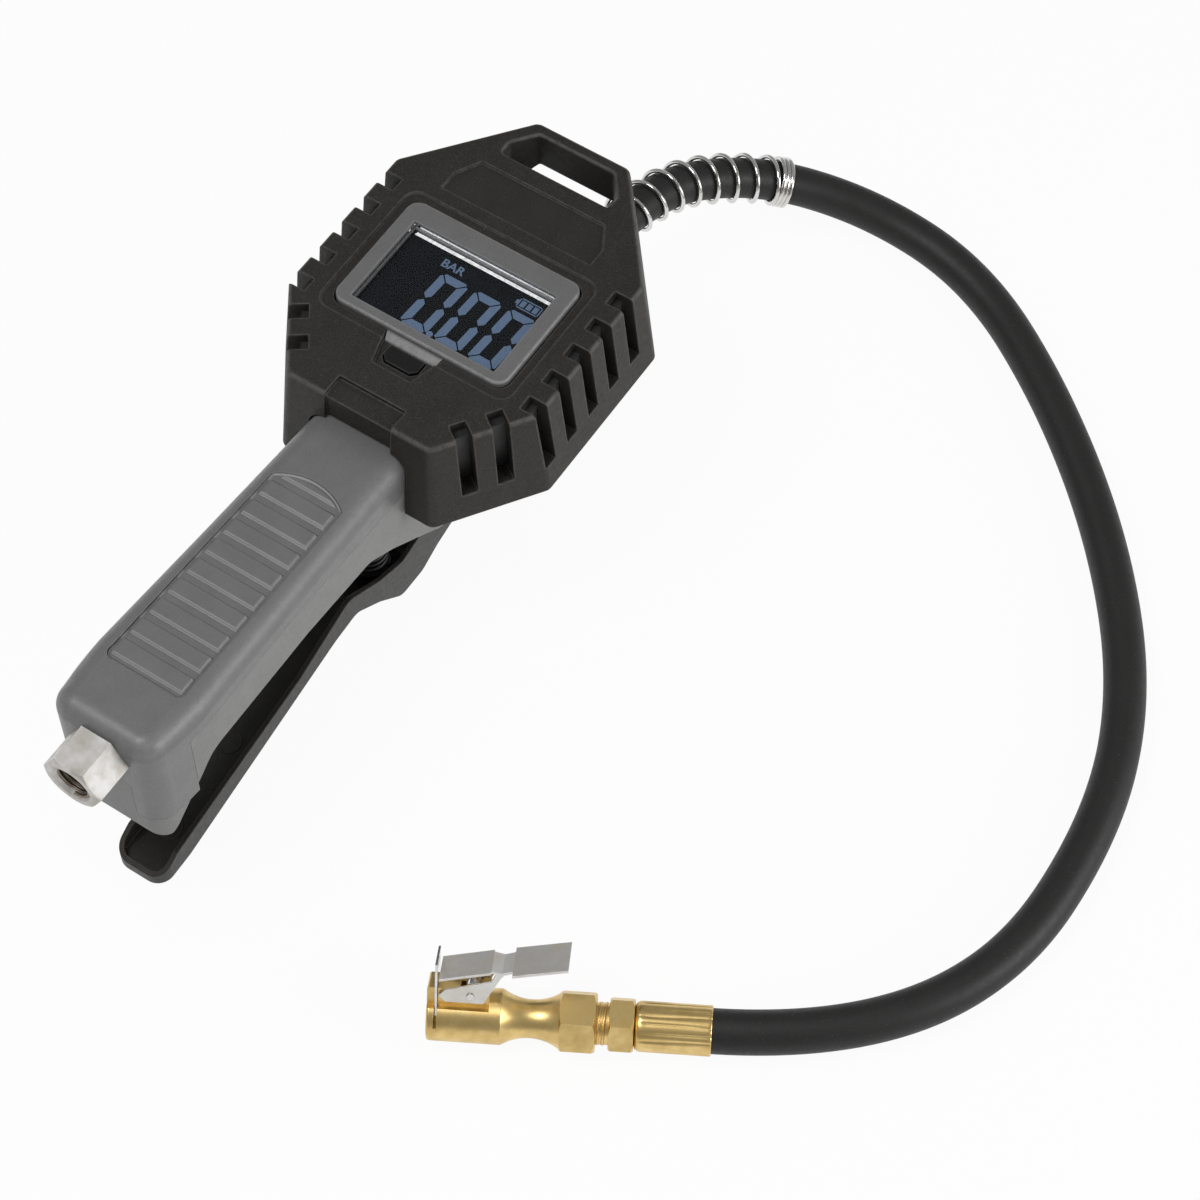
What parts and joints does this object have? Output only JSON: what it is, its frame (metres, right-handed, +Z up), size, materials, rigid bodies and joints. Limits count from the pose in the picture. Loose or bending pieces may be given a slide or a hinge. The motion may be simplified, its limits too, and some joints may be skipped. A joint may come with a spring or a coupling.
{
  "type": "tyre inflator",
  "caption": "Hand-held tyre inflator with a digital gauge in a slotted rubber boot, a squeeze lever under the grip, and a hose with a clip-on chuck.",
  "frame": {"origin": "middle of the tool's footprint, on the plane that it lies on, the hose left out", "axes": "+X along the tool from the air inlet to the gauge head, +Z up out of the display"},
  "size_m": [0.3566, 0.2944, 0.0978],
  "materials": {
    "boot_rubber": "speckled, worn at the edges",
    "housing_grey": "satin, finely grained",
    "grip_grey": "satin, finely grained",
    "lower_grey": "satin, finely grained",
    "cover_dark": "satin",
    "pad_rubber": "soft touch",
    "button_dark": "satin",
    "window": "clear, polished",
    "display": "glossy, nearly black",
    "strip_rubber": "matt",
    "board_green": "lacquered",
    "tube_clear": "smooth",
    "cell_wrap": "printed sleeve, left plain",
    "steel": "bright",
    "nickel": "nickel plate",
    "brass": "machined",
    "pipe_alloy": "drawn",
    "seal_rubber": "smooth",
    "plunger_plastic": "smooth",
    "lever_black": "satin, finely grained",
    "hose_rubber": "satin"
  },
  "bodies": {
    "tool": {"rubber_boot": "boot_rubber", "gauge_front_shell": "housing_grey", "gauge_rear_shell": "housing_grey", "shell_screws": "steel", "battery_cover": "cover_dark", "battery_cover_screw": "steel", "battery_1": "cell_wrap", "battery_2": "cell_wrap", "battery_contacts": "nickel", "lcd_window": "window", "lcd_panel": "display", "display_connectors": "strip_rubber", "circuit_board": "board_green", "pressure_sensor": "steel", "sensor_tube": "tube_clear", "button_switch": "cover_dark", "handle_upper_shell": "grip_grey", "grip_pad": "pad_rubber", "handle_lower_shell": "lower_grey", "inlet_adapter": "nickel", "inlet_filter": "brass", "air_pipe": "tube_clear", "valve_body": "brass", "valve_cap": "brass", "valve_spring": "steel", "lever_spring": "steel", "plunger_seal": "seal_rubber", "outlet_pipe": "pipe_alloy", "outlet_fitting": "brass", "lever_pin": "steel", "hose": "hose_rubber", "spring_guard": "nickel", "chuck_body": "brass", "chuck_seal": "seal_rubber", "valve_depressor": "brass", "clip_pin": "steel", "clip_spring": "steel", "hose_stem": "brass", "ferrule": "brass"},
    "lever": {"lever": "lever_black"},
    "plunger": {"plunger": "plunger_plastic"},
    "poppet": {"valve_poppet": "brass"},
    "button": {"unit_button": "button_dark"},
    "clip": {"chuck_clip": "nickel"},
    "jaw": {"jaw_plate": "steel"}
  },
  "joints": [
    {"name": "lever_squeeze", "type": "hinge", "parent": "tool", "child": "lever", "pos_m": [0.0535, 0, 0.0165], "axis": [0, 1, 0], "range_deg": [0, 9], "stiffness_Nm_per_rad": 2, "springref_deg": -57.3},
    {"name": "plunger_lift", "type": "slide", "parent": "tool", "child": "plunger", "axis": [0, 0, 1], "range_m": [0, 0.0074], "deforming": ["lever_spring"]},
    {"name": "poppet_lift", "type": "slide", "parent": "tool", "child": "poppet", "axis": [0, 0, 1], "range_m": [0, 0.0024], "deforming": ["valve_spring"]},
    {"name": "button_press", "type": "slide", "parent": "tool", "child": "button", "axis": [0, 0, -1], "range_m": [0, 0.0008], "stiffness_N_per_m": 1500, "springref_m": -0.001},
    {"name": "clip_squeeze", "type": "hinge", "parent": "tool", "child": "clip", "pos_m": [-0.09781, -0.11105, 0.01726], "axis": [0.7567, 0.4212, -0.5], "range_deg": [0, 12], "stiffness_Nm_per_rad": 0.12, "springref_deg": -57.3},
    {"name": "jaw_lift", "type": "slide", "parent": "tool", "child": "jaw", "axis": [0.4369, 0.2432, 0.866], "range_m": [0, 0.0022]}
  ],
  "couplings": [
    {"joint": "plunger_lift", "follows": "lever_squeeze", "m_per_rad": 0.04698},
    {"joint": "poppet_lift", "follows": "lever_squeeze", "m_per_rad": 0.01527},
    {"joint": "jaw_lift", "follows": "clip_squeeze", "m_per_rad": 0.01003}
  ]
}
